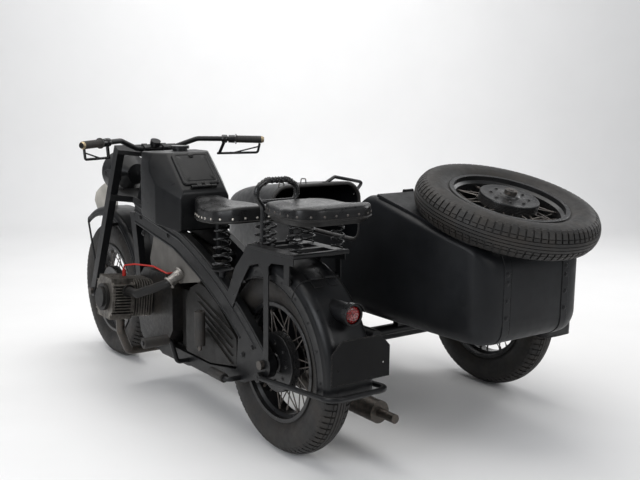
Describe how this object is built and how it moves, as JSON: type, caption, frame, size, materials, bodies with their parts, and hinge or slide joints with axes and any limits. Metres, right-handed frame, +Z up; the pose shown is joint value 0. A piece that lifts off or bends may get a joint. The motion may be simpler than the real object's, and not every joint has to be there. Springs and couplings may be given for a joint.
{
  "type": "sidecar motorcycle",
  "caption": "Shaft-driven flat-twin motorcycle with a pressed frame, solo saddles and a single-seat sidecar carrying its spare wheel on the boot lid.",
  "frame": {"origin": "centre of the whole outfit's bounding box, on the ground under its wheels", "axes": "+Y forward, +X towards the sidecar on the right, +Z up"},
  "size_m": [1.686, 2.3745, 1.0647],
  "materials": {
    "black_paint": "satin",
    "body_paint": "satin",
    "wheel_paint": "satin",
    "tyre": "matte",
    "cast_alloy": "rough",
    "case_alloy": "rough",
    "steel": "satin",
    "dark_steel": "satin",
    "rubber": "matte",
    "lead_red": "satin",
    "saddle_skin": "glossy",
    "seat_trim": "satin",
    "lens_clear": "glossy",
    "lens_red": "glossy",
    "plate_black": "satin"
  },
  "bodies": {
    "chassis": {"main_frame": "black_paint", "rear_axle": "dark_steel", "crankcase": "case_alloy", "cylinders": "cast_alloy", "rocker_covers": "case_alloy", "gearbox": "case_alloy", "air_cleaner": "case_alloy", "intake_pipes": "dark_steel", "ignition_leads": "lead_red", "exhaust": "dark_steel", "final_drive": "case_alloy", "footrests": "black_paint", "kick_starter": "dark_steel", "pedal_rubbers": "rubber", "horn": "black_paint", "fuel_tank": "black_paint", "filler_cap": "black_paint", "rider_seat": "saddle_skin", "pillion_seat": "saddle_skin", "saddle_springs": "dark_steel", "luggage_rack": "black_paint", "grab_hoop": "black_paint", "rear_fender": "black_paint", "tail_lamp": "black_paint", "tail_lens": "lens_red", "number_plate": "plate_black", "sidecar_body": "body_paint", "cockpit_rim": "seat_trim", "sidecar_seat": "seat_trim", "sidecar_grab_rail": "black_paint", "sidecar_fender": "black_paint", "sidecar_chassis": "black_paint", "sidecar_axle": "steel"},
    "steering": {"fork": "black_paint", "front_axle": "dark_steel", "handlebar": "black_paint", "grips": "rubber", "levers": "black_paint", "headlamp": "black_paint", "headlamp_lens": "lens_clear", "front_fender": "black_paint", "front_plate": "plate_black"},
    "front_roller": {"front_tyre": "tyre", "front_wheel": "wheel_paint"},
    "rear_roller": {"rear_tyre": "tyre", "rear_wheel": "wheel_paint"},
    "sidecar_roller": {"sidecar_tyre": "tyre", "sidecar_wheel": "wheel_paint"},
    "stand": {"rear_stand": "black_paint"},
    "boot_cover": {"boot_lid": "body_paint", "spare_carrier": "dark_steel", "spare_tyre": "tyre", "spare_wheel": "wheel_paint"},
    "tool_cover": {"tank_lid": "black_paint"}
  },
  "joints": [
    {"name": "steer", "type": "hinge", "parent": "chassis", "child": "steering", "pos_m": [-0.415, 0.53292, 0.87757], "axis": [0, -0.4226, 0.9063], "range_deg": [-30, 30]},
    {"name": "front_wheel_spin", "type": "hinge", "parent": "steering", "child": "front_roller", "pos_m": [-0.415, 0.86231, 0.325], "axis": [1, 0, 0], "continuous": true},
    {"name": "rear_wheel_spin", "type": "hinge", "parent": "chassis", "child": "rear_roller", "pos_m": [-0.415, -0.54769, 0.325], "axis": [1, 0, 0], "continuous": true},
    {"name": "sidecar_wheel_spin", "type": "hinge", "parent": "chassis", "child": "sidecar_roller", "pos_m": [0.755, -0.39369, 0.325], "axis": [1, 0, 0], "continuous": true},
    {"name": "stand_swing", "type": "hinge", "parent": "chassis", "child": "stand", "pos_m": [-0.415, -0.54769, 0.282], "axis": [1, 0, 0], "range_deg": [0, 95]},
    {"name": "boot_lid_open", "type": "hinge", "parent": "chassis", "child": "boot_cover", "pos_m": [0.293, -0.53243, 0.88502], "axis": [-1, 0, 0], "range_deg": [0, 60]},
    {"name": "tank_lid_open", "type": "hinge", "parent": "chassis", "child": "tool_cover", "pos_m": [-0.415, 0.03106, 0.8846], "axis": [1, 0, 0], "range_deg": [0, 100]}
  ]
}
